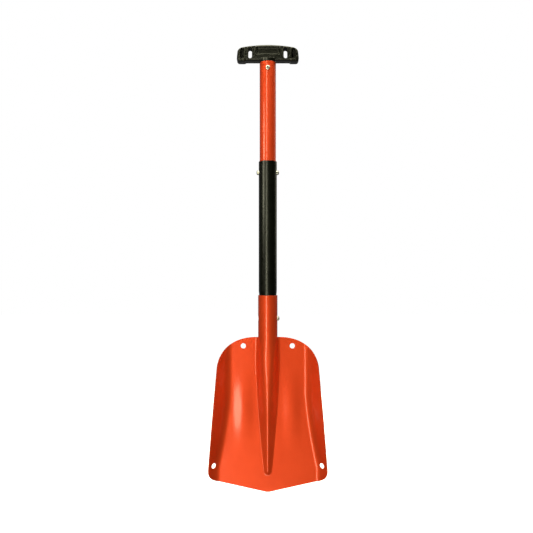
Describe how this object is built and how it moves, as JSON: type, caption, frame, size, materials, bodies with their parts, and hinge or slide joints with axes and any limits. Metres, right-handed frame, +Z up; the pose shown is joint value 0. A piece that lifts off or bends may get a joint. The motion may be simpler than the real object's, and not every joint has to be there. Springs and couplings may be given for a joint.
{
  "type": "avalanche shovel",
  "caption": "Take-apart aluminium snow shovel: T handle on a sliding upper tube, black middle tube and a winged, ribbed blade that pulls off, all held by sprung snap buttons.",
  "frame": {"origin": "on the shaft's axis, halfway up the black middle tube, where the lower hand holds it", "axes": "+Z up the shaft to the T handle, -Y out of the side that the blade scoops with, +X to the right seen from that side"},
  "size_m": [0.2152, 0.0529, 0.8147],
  "materials": {
    "orange_aluminium": "glossy orange coat over aluminium",
    "black_aluminium": "satin black coat over aluminium",
    "handle_plastic": "moulded black plastic with a fine grain",
    "bright_metal": "bright plated metal",
    "spring_steel": "dark spring steel"
  },
  "bodies": {
    "middle_shaft": {"middle_tube": "black_aluminium", "lower_clip_spring": "spring_steel"},
    "upper_shaft": {"upper_tube": "orange_aluminium", "t_handle": "handle_plastic", "handle_rivet": "bright_metal", "handle_rivet_mandrel": "spring_steel", "upper_clip_spring": "spring_steel"},
    "blade": {"blade": "orange_aluminium"},
    "upper_button_left": {"upper_button_left": "bright_metal"},
    "upper_button_right": {"upper_button_right": "bright_metal"},
    "lower_button": {"lower_button": "bright_metal"}
  },
  "joints": [
    {"name": "shaft_telescope", "type": "slide", "parent": "middle_shaft", "child": "upper_shaft", "axis": [0, 0, 1], "range_m": [-0.165, 0], "deforming": ["upper_button_left", "upper_button_right"]},
    {"name": "blade_release", "type": "slide", "parent": "middle_shaft", "child": "blade", "axis": [0, 0, 1], "range_m": [-0.09, 0], "deforming": ["lower_button"]},
    {"name": "upper_button_left_press", "type": "slide", "parent": "upper_shaft", "child": "upper_button_left", "axis": [-1, 0, 0], "range_m": [-0.006, 0], "stiffness_N_per_m": 2500, "springref_m": 0.002, "deforming": ["upper_clip_spring"]},
    {"name": "upper_button_right_press", "type": "slide", "parent": "upper_shaft", "child": "upper_button_right", "axis": [1, 0, 0], "range_m": [-0.006, 0], "stiffness_N_per_m": 2500, "springref_m": 0.002, "deforming": ["upper_clip_spring"]},
    {"name": "lower_button_press", "type": "slide", "parent": "middle_shaft", "child": "lower_button", "axis": [1, 0, 0], "range_m": [-0.0057, 0], "stiffness_N_per_m": 2500, "springref_m": 0.002, "deforming": ["lower_clip_spring"]}
  ]
}
